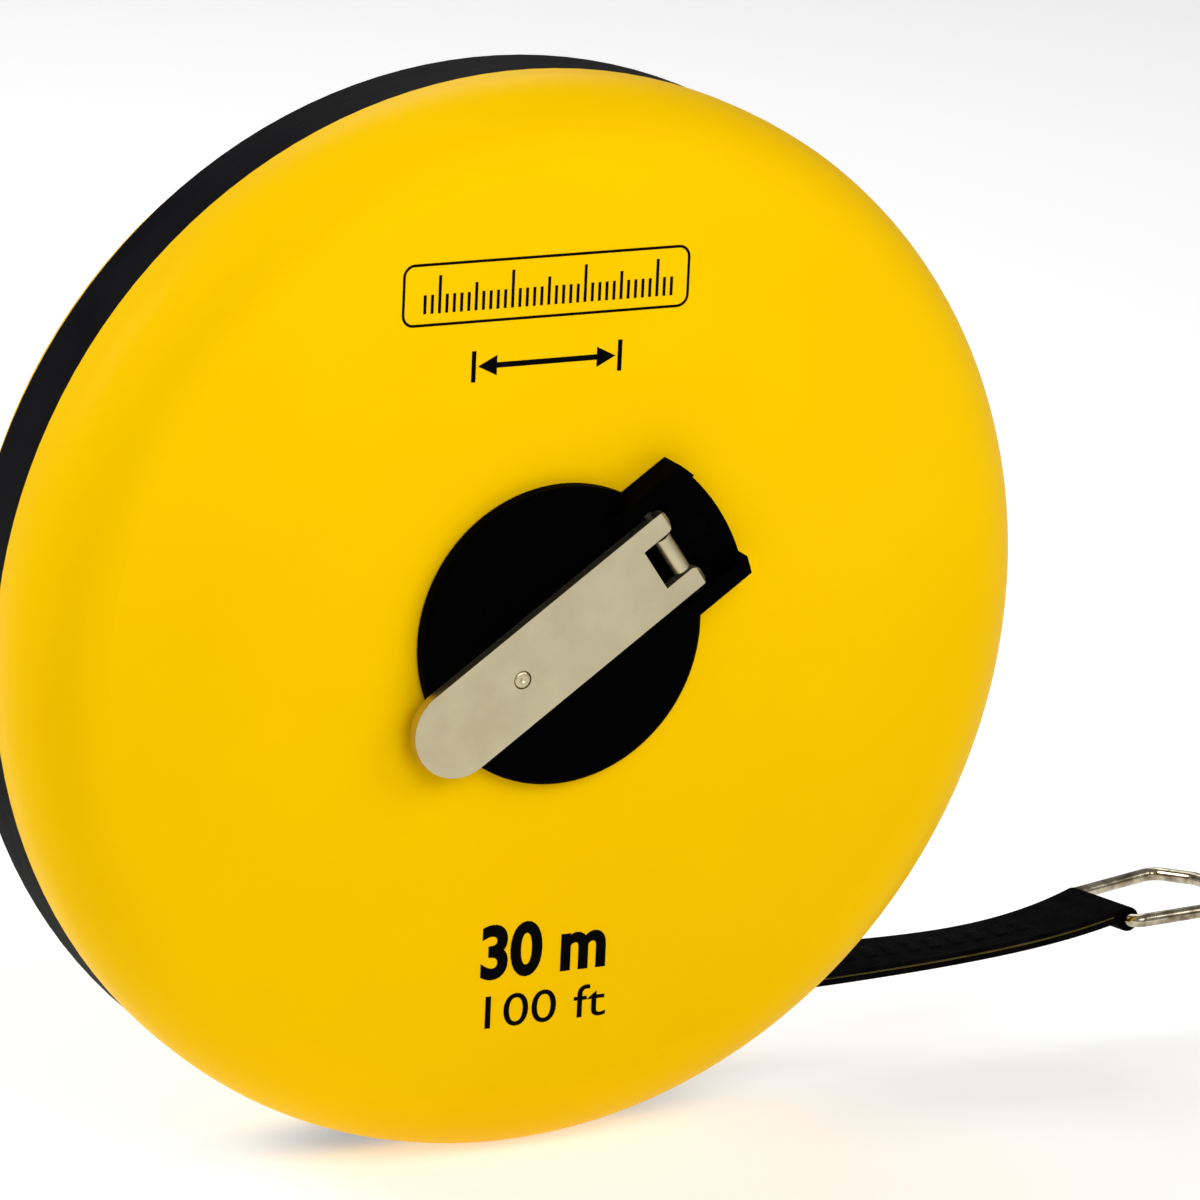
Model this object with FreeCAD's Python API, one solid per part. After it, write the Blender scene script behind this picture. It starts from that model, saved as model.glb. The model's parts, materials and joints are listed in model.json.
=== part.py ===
import FreeCAD, Part
import math
import os

# Closed-case surveyor tape reel, held upright.
# Origin on the reel's axis at mid-thickness; the crank side faces -Y, +Z is up.
# All dimensions are in millimetres.

Vec = FreeCAD.Vector

# Driving dimensions.
CASE_R = 70.0            # outer radius of the front shell
REAR_R = 67.9            # outer radius of the rear shell, a little inside the band
CASE_HALF = 18.0         # half of the case thickness
BAND_HALF = 5.3          # half of the rim band's visible width
EDGE_R = 10.0            # rounding between the front shell's face and its rim
REAR_EDGE_R = 12.2       # the same on the rear shell
WALL = 2.2               # shell wall
TAPE_WIDTH = 13.0
TAPE_THICK = 0.34
CORE_R = 18.0            # winding core
COIL_R = 62.0            # 30 m of tape wound on the core
HUB_R = 19.4             # visible crank disc
CRANK_TILT = 35.0        # the hinge block points this far above +X

# Case.
BAND_R = 69.6
BAND_INNER_R = 66.6
LIP_R = CASE_R - WALL - 0.1
LIP_END = 7.5             # how far from the middle plane the front lip reaches
REAR_LIP_R = REAR_R - WALL - 0.15
REAR_LIP_END = 6.8        # the rear lip stops short of the shell's inner rounding
LIP_THICK = 1.1
BAND_CHAMFER = 0.35
BOSS_GAP = 0.3            # room around each screw boss, in the band
RIB_RADII = (40.0, 56.0)
RIB_THICK = 1.2
RIB_TOP = 9.3
SCREW_COUNT = 5
SCREW_FIRST_ANGLE = -30.0
SCREW_CIRCLE_R = 65.4
BOSS_R = 2.3
BOSS_END = 14.6           # bosses run that far into the rounded corner, and stop inside its surface
SCREW_R = 1.1
SCREW_TIP = -8.5
SCREW_HEAD_R = 1.9
SCREW_HEAD_SEAT = 7.0
SCREW_HEAD_HEIGHT = 1.6
DRIVE_DEPTH = 0.7         # cross slots in the screw heads
DRIVE_HALF_WIDTH = 0.3
DRIVE_HALF_LENGTH = 1.3

# Bearings of the drum.
JOURNAL_CLEARANCE = 0.06
SPIGOT_R = 17.2
COLLAR_R = 20.5
COLLAR_INNER_Y = -12.0
STUB_R = 6.0
STUB_END = 13.6
BUSH_R = 8.0
BUSH_START = 9.3
BUSH_END = 13.4
CAP_R = 9.5
CAP_SEAT = 16.6
CAP_RECESS = 0.1
CAP_CHAMFER = 0.4
BUSH_WALL = 3.0          # seat around the bush, in the rear shell
ROOT = 0.5               # how far ribs and bosses run into the wall they stand on

# Drum.
FLANGE_R = 62.4
FLANGE_INNER = 7.6
FLANGE_OUTER = 8.8
CORE_BORE_R = 15.9
CORE_WEB_Y = 5.1
CORE_NOSE_R = 14.0
PART_GAP = 0.03          # between round faces that are only glued or screwed together
HUB_CUP_Y = -5.0
HUB_SCREW_CIRCLE_R = 10.5
HUB_SCREW_ANGLES = (0.0, 100.0, -100.0)
HUB_SCREW_R = 1.1
HUB_SCREW_POST_R = 3.0
HUB_SCREW_SEAT = 7.0
HUB_SCREW_HEAD_R = 2.2
HUB_SCREW_HEAD_HEIGHT = 1.5
HUB_SCREW_TIP = -12.0
AXLE_SCREW_R = 1.5
AXLE_SCREW_HEAD_R = 2.8
AXLE_SCREW_HEAD_HEIGHT = 1.7
AXLE_WASHER_R = 7.4
AXLE_WASHER_THICK = 0.8
ANCHOR_HALF_LENGTH = 3.0
ANCHOR_INNER_Z = 16.7

# Crank disc and hinge block, in the crank's own frame: X along the arm, Z across it.
DISC_BACK = -18.3
DISC_FRONT = -20.5
DISC_CHAMFER = 0.5
DISC_SHIFT = 0.9         # the disc's rim is that far off the axis, towards the hinge block
EAR_R = 26.7
EAR_HALF_WIDTH = 9.2
EAR_SHIFT = 0.45         # the hinge block is that far off the arm's middle line
EAR_BACK = -18.25
EAR_FLOOR = -20.3
CHEEK_THICK = 2.3
CHEEK_FRONT = -22.75
CHEEK_START = 13.0
CHEEK_SLOPE = 2.0
POCKET_START = 15.4
POCKET_END = 20.9
POCKET_HALF_WIDTH = 6.6
POCKET_FLOOR = -18.8
MIDDLE_HALF_WIDTH = 2.75  # floor between the fork's tines
MIDDLE_START = 19.75

# Hinge and arm.
PIN_X = 18.2
PIN_Y = -21.1
PIN_R = 0.6
PIN_HALF_LENGTH = 8.2
EYE_R = 1.15
EYE_CLEARANCE = 0.05
ARM_HALF_WIDTH = 5.9
ARM_BACK = -20.75
ARM_THICK = 1.5
ARM_TIP = 20.1
ARM_ROUND_X = -17.6
ARM_SLOT_START = 15.0
ARM_SLOT_HALF = 3.05
TINE_INNER_ROUND = 1.3
TINE_OUTER_ROUND = 0.8
TIP_BEVEL = 0.5
LEAF_HALF_WIDTH = 2.7
LEAF_THICK = 0.5
LEAF_END = 25.2
LEAF_RIVET_X = 23.0
LEAF_RIVET_R = 0.8
LEAF_RIVET_HEAD_R = 1.4
LEAF_RIVET_HEAD_HEIGHT = 0.4
LEAF_TAIL_DROP = 0.35     # how far under the pocket's floor the tail lies
LEAF_GAP = 0.15

# Knob, stowed in a well in the disc.
KNOB_X = -7.0
KNOB_R = 5.5
KNOB_START = -20.35
KNOB_END = -7.4
AXLE_R = 1.2
AXLE_CLEARANCE = 0.08
WELL_R = 6.0
WELL_FAR_X = -9.5
WELL_NEAR_X = -6.9
WELL_STEP_Y = -9.0
WELL_DEEP_X = -7.2
WELL_FLOOR_Y = -6.4

KNOB_EDGE_ROUND = 1.4
KNOB_RECESS_R = 3.0
KNOB_RECESS_DEPTH = 1.6
AXLE_RISE = 0.08          # the peened end stands that far out of the arm
AXLE_TAIL_R = 1.9
AXLE_TAIL_THICK = 0.6
AXLE_TAIL_INSET = 0.35
KNOB_WASHER_R = 2.6
KNOB_WASHER_THICK = 0.6

# Tape mouth and the run of tape to it.
MOUTH_Z = -55.0
MOUTH_HALF_HEIGHT = 2.8
MOUTH_HALF_WIDTH = 8.7
MOUTH_NOTCH_START = 27.0  # far enough back for the tape's slope to pass the band's lips
MOUTH_NOTCH_END = 80.0
GUIDE_INNER_X = 36.5
GUIDE_OUTER_R = 70.3
GUIDE_OUTER_X = 60.0      # past the rim everywhere; the outer end is trimmed round
GUIDE_WALL = 0.6          # above and below the throat
GUIDE_THROAT_END = 39.4
GUIDE_FIT = 0.05
GUIDE_SLOT_HALF_HEIGHT = 0.9
GUIDE_SLOT_HALF_WIDTH = 7.0
GUIDE_PIN_X = 38.4
GUIDE_PIN_R = 0.75
GUIDE_PIN_HALF_LENGTH = 8.4
GUIDE_PIN_OFFSET = 1.25
LEAD_END_X = 44.0

# End strap: it leaves the mouth level, then rises, rolls and turns a little towards its end.
STRAP_START_X = 46.0
STRAP_END_X = 93.4
STRAP_RISE = 3.8
STRAP_ROLL_START = 2.5    # degrees; the far edge lies lower
STRAP_ROLL_END = 6.5
STRAP_ROLL_BULGE = 3.5    # more roll than that between the ends
STRAP_YAW_END = 4.5
STRAP_RISE_POWER = 4      # the rise and the turn gather towards the end
STRAP_YAW_POWER = 5
STRAP_BULGE_POWER = 1.5
STRAP_STATION_COUNT = 7
STRAP_WIDTH = 14.0
STRAP_LAYER = 0.6
LAYER_GAP = 0.04         # glue line between the tape and each layer
LOOP_BORE_R = 1.05

# Hook ring: corners of the wire's centre line, from the bar in the strap's loop outwards.
RING_WIRE_R = 0.9
RING_PITCH = 3.0
RING_CORNERS = (
    (0.0, -8.8, 1.7),
    (15.8, -11.3, 2.2),
    (18.4, -4.6, 4.0),
    (18.4, 4.6, 4.0),
    (15.8, 11.3, 2.2),
    (0.0, 8.8, 1.7),
)


def disc(radius, start, end, x=0.0, z=0.0):
    """Solid cylinder along Y."""
    return Part.makeCylinder(radius, end - start, Vec(x, start, z), Vec(0, 1, 0))


def tube(outer, inner, start, end, x=0.0, z=0.0):
    """Hollow cylinder along Y."""
    return disc(outer, start, end, x, z).cut(disc(inner, start, end, x, z))


def block(x0, x1, y0, y1, z0, z1):
    return Part.makeBox(x1 - x0, y1 - y0, z1 - z0, Vec(x0, y0, z0))


def cross_pin(radius, x, y, half_length):
    """Solid cylinder along Z, centred on z = 0."""
    return Part.makeCylinder(radius, 2 * half_length, Vec(x, y, -half_length), Vec(0, 0, 1))


def turned(edges):
    """Solid made by turning a closed outline in the XY plane about the Y axis."""
    face = Part.Face(Part.Wire(edges))
    return face.revolve(Vec(0, 0, 0), Vec(0, 1, 0), 360)


def line(a, b):
    return Part.LineSegment(Vec(a[0], a[1], 0), Vec(b[0], b[1], 0)).toShape()


def quarter(centre, radius, side):
    """Quarter arc in the XY plane, from the side's face round to the rim."""
    half = radius * math.sqrt(0.5)
    start = Vec(centre[0], centre[1] + side * radius, 0)
    middle = Vec(centre[0] + half, centre[1] + side * half, 0)
    end = Vec(centre[0] + radius, centre[1], 0)
    return Part.Arc(start, middle, end).toShape()


def polygon_prism(points, z0, z1):
    """Straight-sided outline in the XY plane, drawn out along Z."""
    corners = [Vec(x, y, z0) for x, y in points]
    corners.append(corners[0])
    return Part.Face(Part.makePolygon(corners)).extrude(Vec(0, 0, z1 - z0))


def obround(x0, x1, radius, start, end):
    """Straight slot with round ends, drawn out along Y."""
    body = block(x0, x1, start, end, -radius, radius)
    return body.fuse([disc(radius, start, end, x0), disc(radius, start, end, x1)])


def polar(radius, degrees):
    angle = math.radians(degrees)
    return radius * math.cos(angle), radius * math.sin(angle)


def screw_places():
    step = 360.0 / SCREW_COUNT
    return [polar(SCREW_CIRCLE_R, SCREW_FIRST_ANGLE + step * i) for i in range(SCREW_COUNT)]


def tilted(shape):
    """Turn a crank piece from its own frame to the direction of the hinge block."""
    return shape.rotated(Vec(0, 0, 0), Vec(0, 1, 0), -CRANK_TILT)


# Case.

def shell_blank(side, outer_r, edge_r):
    """Dished shell with a flat face, rounded edge and straight rim; side is -1 for the front."""
    face_r = outer_r - edge_r
    outer_y = side * CASE_HALF
    inner_y = side * (CASE_HALF - WALL)
    bend_y = side * (CASE_HALF - edge_r)
    rim_y = side * BAND_HALF
    inner_r = outer_r - WALL
    outline = [
        line((0, outer_y), (face_r, outer_y)),
        quarter((face_r, bend_y), edge_r, side),
        line((outer_r, bend_y), (outer_r, rim_y)),
        line((outer_r, rim_y), (inner_r, rim_y)),
        line((inner_r, rim_y), (inner_r, bend_y)),
        quarter((face_r, bend_y), edge_r - WALL, side),
        line((face_r, inner_y), (0, inner_y)),
        line((0, inner_y), (0, outer_y)),
    ]
    return turned(outline)


def shell_bosses(side, outer_r, edge_r):
    """Screw bosses from near the middle plane out to the shell, none of them past its surface."""
    face_r = outer_r - edge_r
    bend_y = side * (CASE_HALF - edge_r)
    skin = 0.5 * WALL
    envelope = turned([
        line((0, side * (CASE_HALF - skin)), (face_r, side * (CASE_HALF - skin))),
        quarter((face_r, bend_y), edge_r - skin, side),
        line((outer_r - skin, bend_y), (outer_r - skin, 0)),
        line((outer_r - skin, 0), (0, 0)),
        line((0, 0), (0, side * (CASE_HALF - skin))),
    ])
    start = min(side * 0.1, side * BOSS_END)
    end = max(side * 0.1, side * BOSS_END)
    return [disc(BOSS_R, start, end, x, z).common(envelope) for x, z in screw_places()]


def shell_ribs(side):
    """Round guide ribs that keep the drum's flanges off the shell."""
    near = side * (CASE_HALF - WALL + ROOT)
    far = side * RIB_TOP
    start = min(near, far)
    end = max(near, far)
    return [tube(r + RIB_THICK, r, start, end) for r in RIB_RADII]


def mouth_notch():
    return block(MOUTH_NOTCH_START, MOUTH_NOTCH_END, -MOUTH_HALF_WIDTH, MOUTH_HALF_WIDTH,
                 MOUTH_Z - MOUTH_HALF_HEIGHT, MOUTH_Z + MOUTH_HALF_HEIGHT)


def front_shell():
    shell = shell_blank(-1, CASE_R, EDGE_R)
    parts = shell_ribs(-1)
    parts.append(disc(COLLAR_R, -(CASE_HALF - WALL + ROOT), COLLAR_INNER_Y))
    parts += shell_bosses(-1, CASE_R, EDGE_R)
    shell = shell.fuse(parts)
    cuts = [disc(SPIGOT_R + JOURNAL_CLEARANCE, -CASE_HALF - 1, 0), mouth_notch()]
    cuts += [disc(SCREW_R, SCREW_TIP - 0.5, 0, x, z) for x, z in screw_places()]
    return shell.cut(cuts)


def rear_shell():
    shell = shell_blank(1, REAR_R, REAR_EDGE_R)
    parts = shell_ribs(1)
    parts.append(disc(BUSH_R + BUSH_WALL, BUSH_START + 0.1, CASE_HALF - WALL + ROOT))
    parts += shell_bosses(1, REAR_R, REAR_EDGE_R)
    shell = shell.fuse(parts)
    cuts = [disc(BUSH_R, 0, CAP_SEAT), disc(CAP_R, CAP_SEAT, CASE_HALF + 1), mouth_notch()]
    cuts += [disc(SCREW_R, 0, SCREW_HEAD_SEAT, x, z) for x, z in screw_places()]
    cuts += [disc(SCREW_HEAD_R + 0.1, SCREW_HEAD_SEAT, CASE_HALF, x, z) for x, z in screw_places()]
    return shell.cut(cuts)


def rim_band():
    """Band between the shells, with a lip that centres each of them."""
    edge_r = BAND_R - BAND_CHAMFER
    edge_y = BAND_HALF - BAND_CHAMFER
    rear_inner_r = REAR_LIP_R - LIP_THICK
    points = [
        (BAND_INNER_R, -LIP_END), (LIP_R, -LIP_END), (LIP_R, -BAND_HALF), (edge_r, -BAND_HALF),
        (BAND_R, -edge_y), (BAND_R, edge_y), (edge_r, BAND_HALF), (REAR_LIP_R, BAND_HALF),
        (REAR_LIP_R, REAR_LIP_END), (rear_inner_r, REAR_LIP_END), (rear_inner_r, BAND_HALF - LIP_THICK),
        (BAND_INNER_R, BAND_HALF - 2 * LIP_THICK),
    ]
    edges = [line(a, b) for a, b in zip(points, points[1:] + points[:1])]
    boss_gaps = [disc(BOSS_R + BOSS_GAP, -CASE_HALF, CASE_HALF, x, z) for x, z in screw_places()]
    return turned(edges).cut(boss_gaps + [mouth_notch()])


def cross_drive(top, x, z):
    """Two crossed slots in a screw head whose end is at y = top."""
    depth = top - DRIVE_DEPTH
    return [block(x - DRIVE_HALF_WIDTH, x + DRIVE_HALF_WIDTH, depth, top + 1, z - DRIVE_HALF_LENGTH,
                  z + DRIVE_HALF_LENGTH),
            block(x - DRIVE_HALF_LENGTH, x + DRIVE_HALF_LENGTH, depth, top + 1, z - DRIVE_HALF_WIDTH,
                  z + DRIVE_HALF_WIDTH)]


def case_screws():
    screws = []
    for x, z in screw_places():
        top = SCREW_HEAD_SEAT + SCREW_HEAD_HEIGHT
        head = disc(SCREW_HEAD_R, SCREW_HEAD_SEAT, top, x, z)
        shank = disc(SCREW_R, SCREW_TIP, SCREW_HEAD_SEAT, x, z)
        screws.append(head.fuse(shank).cut(cross_drive(top, x, z)))
    return Part.makeCompound(screws)


def guide_pin(offset):
    half = GUIDE_PIN_HALF_LENGTH
    return disc(GUIDE_PIN_R, -half, half, GUIDE_PIN_X, MOUTH_Z + offset)


def guide_pins():
    return Part.makeCompound([guide_pin(GUIDE_PIN_OFFSET), guide_pin(-GUIDE_PIN_OFFSET)])


def mouth_guide():
    """Frame in the rim that the tape runs out through."""
    half_height = MOUTH_HALF_HEIGHT - GUIDE_FIT
    half_width = MOUTH_HALF_WIDTH - GUIDE_FIT
    frame = block(GUIDE_INNER_X, GUIDE_OUTER_X, -half_width, half_width,
                  MOUTH_Z - half_height, MOUTH_Z + half_height)
    frame = frame.common(disc(GUIDE_OUTER_R, -CASE_HALF, CASE_HALF))
    slot = block(MOUTH_NOTCH_START, GUIDE_OUTER_X, -GUIDE_SLOT_HALF_WIDTH, GUIDE_SLOT_HALF_WIDTH,
                 MOUTH_Z - GUIDE_SLOT_HALF_HEIGHT, MOUTH_Z + GUIDE_SLOT_HALF_HEIGHT)
    throat = block(MOUTH_NOTCH_START, GUIDE_THROAT_END, -GUIDE_SLOT_HALF_WIDTH, GUIDE_SLOT_HALF_WIDTH,
                   MOUTH_Z - half_height + GUIDE_WALL, MOUTH_Z + half_height - GUIDE_WALL)
    return frame.cut([slot, throat, guide_pin(GUIDE_PIN_OFFSET), guide_pin(-GUIDE_PIN_OFFSET)])


def rear_bush():
    return tube(BUSH_R, STUB_R + JOURNAL_CLEARANCE, BUSH_START, BUSH_END)


def rear_cap():
    front_y = CASE_HALF - CAP_RECESS
    radius = CAP_R - 0.05
    shoulder = front_y - CAP_CHAMFER
    chamfer = Part.makeCone(radius, radius - CAP_CHAMFER, CAP_CHAMFER, Vec(0, shoulder, 0), Vec(0, 1, 0))
    return disc(radius, CAP_SEAT, shoulder).fuse(chamfer).removeSplitter()


# Drum.

def tape_slope_start():
    """Where the tape leaves the coil, on a line that touches it and meets the guide pins."""
    touch_r = COIL_R + 0.4
    distance = math.hypot(GUIDE_PIN_X, MOUTH_Z)
    angle = math.atan2(MOUTH_Z, GUIDE_PIN_X) - math.acos(touch_r / distance)
    return touch_r * math.cos(angle), touch_r * math.sin(angle)


def drum_core():
    core = tube(CORE_R, CORE_BORE_R, -FLANGE_INNER, FLANGE_INNER)
    web = disc(CORE_BORE_R + ROOT, CORE_WEB_Y, FLANGE_INNER)
    nose = disc(CORE_NOSE_R - PART_GAP, CORE_WEB_Y, FLANGE_OUTER)
    stub = disc(STUB_R, CORE_WEB_Y, STUB_END)
    parts = [web, nose, stub]
    cuts = [disc(AXLE_SCREW_R, CORE_WEB_Y + 0.6, STUB_END), anchor_block(0.0)]
    for angle in HUB_SCREW_ANGLES:
        x, z = polar(HUB_SCREW_CIRCLE_R, angle)
        parts.append(tilted(disc(HUB_SCREW_POST_R, HUB_CUP_Y, CORE_WEB_Y + ROOT, x, z)))
        cuts.append(tilted(disc(HUB_SCREW_R, HUB_CUP_Y, FLANGE_OUTER, x, z)))
        cuts.append(tilted(disc(HUB_SCREW_HEAD_R + 0.1, HUB_SCREW_SEAT, FLANGE_OUTER, x, z)))
    return core.fuse(parts).cut(cuts)


def drum_flange_front():
    return tube(FLANGE_R, CORE_BORE_R, -FLANGE_OUTER, -FLANGE_INNER)


def drum_flange_rear():
    return tube(FLANGE_R, CORE_NOSE_R, FLANGE_INNER, FLANGE_OUTER)


def tape_coil():
    return tube(COIL_R, CORE_R, -TAPE_WIDTH / 2, TAPE_WIDTH / 2)


def anchor_block(shrink):
    """Seat in the core's wall for the clip on the tape's inner end."""
    half = ANCHOR_HALF_LENGTH - shrink
    body = block(-half, half, -TAPE_WIDTH / 2, TAPE_WIDTH / 2, ANCHOR_INNER_Z, CORE_R + 1)
    return body.common(disc(CORE_R, -10, 10))


def tape_anchor():
    return anchor_block(0.05)


def hub_screws():
    screws = []
    for angle in HUB_SCREW_ANGLES:
        x, z = polar(HUB_SCREW_CIRCLE_R, angle)
        top = HUB_SCREW_SEAT + HUB_SCREW_HEAD_HEIGHT
        head = disc(HUB_SCREW_HEAD_R, HUB_SCREW_SEAT, top, x, z)
        shank = disc(HUB_SCREW_R, HUB_SCREW_TIP, HUB_SCREW_SEAT, x, z)
        screws.append(tilted(head.fuse(shank).cut(cross_drive(top, x, z))))
    return Part.makeCompound(screws)


def axle_washer():
    return tube(AXLE_WASHER_R, AXLE_SCREW_R + 0.1, STUB_END, STUB_END + AXLE_WASHER_THICK)


def axle_screw():
    seat = STUB_END + AXLE_WASHER_THICK
    top = seat + AXLE_SCREW_HEAD_HEIGHT
    head = disc(AXLE_SCREW_HEAD_R, seat, top)
    shank = disc(AXLE_SCREW_R, CORE_WEB_Y + 1.0, seat)
    return head.fuse(shank).cut(cross_drive(top, 0.0, 0.0))


# Crank hub and hinge.

def hub_disc():
    rim = HUB_R - DISC_CHAMFER
    points = [(0, DISC_BACK), (HUB_R, DISC_BACK), (HUB_R, DISC_FRONT + DISC_CHAMFER), (rim, DISC_FRONT),
              (0, DISC_FRONT)]
    body = turned([line(a, b) for a, b in zip(points, points[1:] + points[:1])])
    return body.translated(Vec(DISC_SHIFT, 0, 0))


def hinge_block():
    """Block beside the disc, with a cheek on each side that holds the hinge pin."""
    far = EAR_R + 5.0
    low = EAR_SHIFT - EAR_HALF_WIDTH
    high = EAR_SHIFT + EAR_HALF_WIDTH
    base = block(0, far, EAR_FLOOR, EAR_BACK, low, high)
    side = [(CHEEK_START, EAR_BACK), (CHEEK_START, DISC_FRONT), (CHEEK_START + CHEEK_SLOPE, CHEEK_FRONT),
            (far, CHEEK_FRONT), (far, EAR_BACK)]
    cheeks = [polygon_prism(side, high - CHEEK_THICK, high), polygon_prism(side, low, low + CHEEK_THICK)]
    return base.fuse(cheeks).common(disc(EAR_R, -30, 0))


def hinge_pocket():
    """Room for the fork's tines, and between them for the rolled end of the leaf."""
    tines = block(POCKET_START, POCKET_END, -30, POCKET_FLOOR, -POCKET_HALF_WIDTH, POCKET_HALF_WIDTH)
    floor = block(MIDDLE_START, POCKET_END, -30, POCKET_FLOOR, -MIDDLE_HALF_WIDTH, MIDDLE_HALF_WIDTH)
    above = block(MIDDLE_START, POCKET_END, -30, EAR_FLOOR, -MIDDLE_HALF_WIDTH, MIDDLE_HALF_WIDTH)
    return tines.cut(floor).fuse(above)


def knob_well():
    upper = obround(WELL_FAR_X, WELL_NEAR_X, WELL_R, -30, WELL_STEP_Y)
    lower = obround(WELL_DEEP_X, WELL_NEAR_X, WELL_R, WELL_STEP_Y, WELL_FLOOR_Y)
    return upper.fuse(lower)


def crank_hub():
    body = hub_disc().fuse([disc(SPIGOT_R, DISC_BACK, -FLANGE_OUTER), hinge_block(),
                            disc(CORE_BORE_R - PART_GAP, -FLANGE_OUTER, HUB_CUP_Y)])
    cuts = [knob_well(), hinge_pocket(), cross_pin(PIN_R, PIN_X, PIN_Y, PIN_HALF_LENGTH + 0.1),
            hinge_leaf_local(), leaf_rivet_local()]
    for angle in HUB_SCREW_ANGLES:
        x, z = polar(HUB_SCREW_CIRCLE_R, angle)
        cuts.append(disc(HUB_SCREW_R, HUB_SCREW_TIP - 0.5, HUB_CUP_Y, x, z))
    return tilted(body.cut(cuts))


def hinge_leaf_local():
    """Steel strip rolled round the pin, with its tail let into the hinge block."""
    inner = PIN_X + EYE_R - LEAF_THICK
    outer = PIN_X + EYE_R
    half = LEAF_HALF_WIDTH
    tail_back = POCKET_FLOOR - LEAF_TAIL_DROP
    barrel = cross_pin(EYE_R, PIN_X, PIN_Y, half)
    leg = block(inner, outer, PIN_Y, tail_back, -half, half)
    tail = block(inner, LEAF_END, tail_back - LEAF_THICK, tail_back, -half, half)
    leaf = barrel.fuse([leg, tail]).cut(cross_pin(EYE_R - LEAF_THICK, PIN_X, PIN_Y, half + 1))
    gap = block(PIN_X - LEAF_GAP, inner, PIN_Y, PIN_Y + EYE_R + 0.1, -half - 1, half + 1)
    return leaf.cut(gap)


def leaf_rivet_local():
    head_back = EAR_FLOOR + LEAF_RIVET_HEAD_HEIGHT
    head = disc(LEAF_RIVET_HEAD_R, EAR_FLOOR, head_back, LEAF_RIVET_X)
    return head.fuse(disc(LEAF_RIVET_R, EAR_FLOOR, EAR_BACK - 0.1, LEAF_RIVET_X))


def hinge_leaf():
    return tilted(hinge_leaf_local().cut(leaf_rivet_local()))


def leaf_rivet():
    return tilted(leaf_rivet_local())


def hinge_pin():
    return tilted(cross_pin(PIN_R, PIN_X, PIN_Y, PIN_HALF_LENGTH))


def crank_arm():
    front = ARM_BACK - ARM_THICK
    plate = block(ARM_ROUND_X, ARM_TIP, front, ARM_BACK, -ARM_HALF_WIDTH, ARM_HALF_WIDTH)
    plate = plate.fuse(disc(ARM_HALF_WIDTH, front, ARM_BACK, ARM_ROUND_X))
    plate = plate.cut(block(ARM_SLOT_START, 30, -30, 0, -ARM_SLOT_HALF, ARM_SLOT_HALF))
    plate = plate.makeFillet(TINE_INNER_ROUND, upright_edges(plate, ARM_TIP, ARM_SLOT_HALF))
    plate = plate.makeFillet(TINE_OUTER_ROUND, upright_edges(plate, ARM_TIP, ARM_HALF_WIDTH))
    plate = plate.cut([tip_bevel(front, -1), tip_bevel(ARM_BACK, 1)])
    between = cross_pin(EYE_R + 1, PIN_X, PIN_Y, ARM_SLOT_HALF)
    eyes = cross_pin(EYE_R, PIN_X, PIN_Y, ARM_HALF_WIDTH).cut(between)
    holes = [cross_pin(PIN_R + EYE_CLEARANCE, PIN_X, PIN_Y, 20), disc(AXLE_R, -30, 0, KNOB_X)]
    return tilted(plate.fuse(eyes).cut(holes))


def tip_bevel(face_y, side):
    """What is cut from the edge of the fork's tips, at the face where y = face_y."""
    points = [(ARM_TIP - TIP_BEVEL, face_y + side), (ARM_TIP - TIP_BEVEL, face_y),
              (ARM_TIP, face_y - side * TIP_BEVEL), (ARM_TIP + 1, face_y - side * TIP_BEVEL),
              (ARM_TIP + 1, face_y + side)]
    return polygon_prism(points, -ARM_HALF_WIDTH - 1, ARM_HALF_WIDTH + 1)


def upright_edges(shape, x, across):
    """Edges parallel to Y at one distance along the arm and either side of its middle."""
    found = []
    for edge in shape.Edges:
        centre = edge.BoundBox.Center
        if abs(centre.x - x) < 0.01 and abs(abs(centre.z) - across) < 0.01:
            found.append(edge)
    return found


def axle_tail_start():
    return KNOB_END - AXLE_TAIL_INSET - AXLE_TAIL_THICK


def knob_axle():
    shank = disc(AXLE_R, ARM_BACK - ARM_THICK - AXLE_RISE, axle_tail_start(), KNOB_X)
    tail = disc(AXLE_TAIL_R, axle_tail_start(), KNOB_END - AXLE_TAIL_INSET, KNOB_X)
    return tilted(shank.fuse(tail))


def knob_washer():
    end = axle_tail_start()
    return tilted(tube(KNOB_WASHER_R, AXLE_R, end - KNOB_WASHER_THICK, end, KNOB_X))


def knob():
    body = disc(KNOB_R, KNOB_START, KNOB_END, KNOB_X)
    ends = [e for e in body.Edges if e.BoundBox.YLength < 0.01]
    body = body.makeFillet(KNOB_EDGE_ROUND, ends)
    bore = disc(AXLE_R + AXLE_CLEARANCE, KNOB_START - 1, KNOB_END, KNOB_X)
    recess = disc(KNOB_RECESS_R, KNOB_END - KNOB_RECESS_DEPTH, KNOB_END + 1, KNOB_X)
    return tilted(body.cut([bore, recess]))


# Tape run and end strap.

def flat_strip(points, thickness, half_width):
    """Strip of even thickness along points (x, z), drawn out along Y."""
    above = []
    below = []
    for i, (x, z) in enumerate(points):
        before = points[max(i - 1, 0)]
        after = points[min(i + 1, len(points) - 1)]
        length = math.hypot(after[0] - before[0], after[1] - before[1])
        nx = -(after[1] - before[1]) / length * thickness / 2
        nz = (after[0] - before[0]) / length * thickness / 2
        above.append(Vec(x + nx, -half_width, z + nz))
        below.append(Vec(x - nx, -half_width, z - nz))
    corners = above + below[::-1]
    corners.append(corners[0])
    return Part.Face(Part.makePolygon(corners)).extrude(Vec(0, 2 * half_width, 0))


def tape_lead():
    """Stretch of tape from the coil to the mouth; it slides along itself and stays in place."""
    points = [tape_slope_start(), (GUIDE_PIN_X, MOUTH_Z), (LEAD_END_X, MOUTH_Z)]
    return flat_strip(points, TAPE_THICK, TAPE_WIDTH / 2)


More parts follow.
